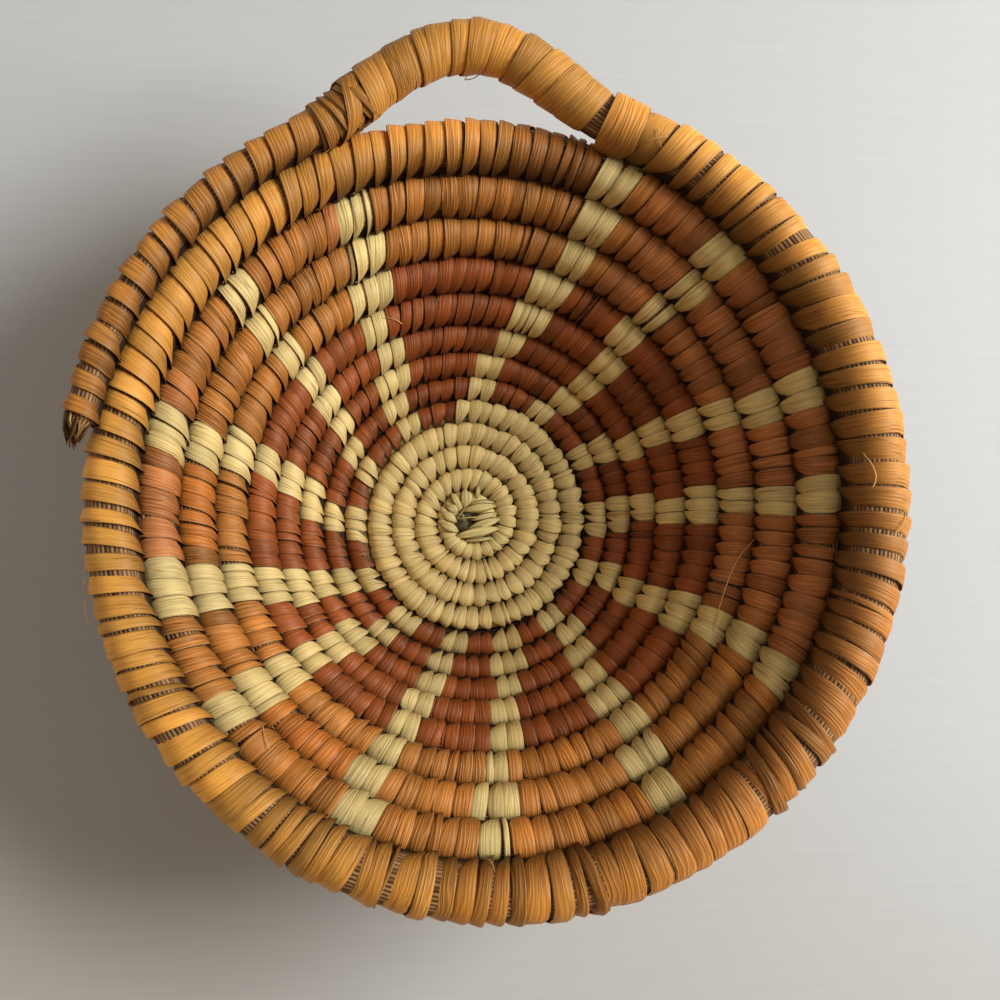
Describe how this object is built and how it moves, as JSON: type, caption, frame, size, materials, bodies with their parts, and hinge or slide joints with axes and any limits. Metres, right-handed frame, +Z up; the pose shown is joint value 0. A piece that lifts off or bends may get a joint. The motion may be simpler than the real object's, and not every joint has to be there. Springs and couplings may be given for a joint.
{
  "type": "coiled basket",
  "caption": "Shallow round bowl basket sewn from a spiral of leaf-wrapped grass, with curved spokes in the pattern and a hanging loop at the rim",
  "frame": {"origin": "centre of the flat underside, at the start knot, on the surface that the basket stands on", "axes": "+Z up through the open mouth, +Y from the middle towards the hanging loop, +X to the right with the loop at the top"},
  "size_m": [0.179, 0.1929, 0.0592],
  "materials": {
    "cream_leaf": "dry split leaf, pale straw, faintly glossy",
    "rust_leaf": "dry split leaf dyed rust red, faintly glossy",
    "tan_leaf": "dry split leaf, orange brown, faintly glossy",
    "gold_leaf": "dry split leaf, golden tan, faintly glossy",
    "bare_grass": "dry grass stems, matt brown"
  },
  "bodies": {
    "root": {"foundation_bundle": "bare_grass", "start_knot": "cream_leaf", "centre_wrap_1": "cream_leaf", "centre_wrap_2": "cream_leaf", "centre_wrap_3": "cream_leaf", "centre_wrap_4": "cream_leaf", "field_wrap_1": "rust_leaf", "field_wrap_2": "rust_leaf", "field_wrap_3": "rust_leaf", "field_wrap_4": "rust_leaf", "field_wrap_5": "rust_leaf", "border_wrap_1": "tan_leaf", "border_wrap_2": "tan_leaf", "border_wrap_3": "tan_leaf", "rim_wrap_1": "gold_leaf", "rim_wrap_2": "gold_leaf", "loop_wrap": "gold_leaf", "tail_wrap": "tan_leaf", "loop_lashing_right": "gold_leaf", "loop_lashing_left": "tan_leaf"}
  },
  "joints": []
}
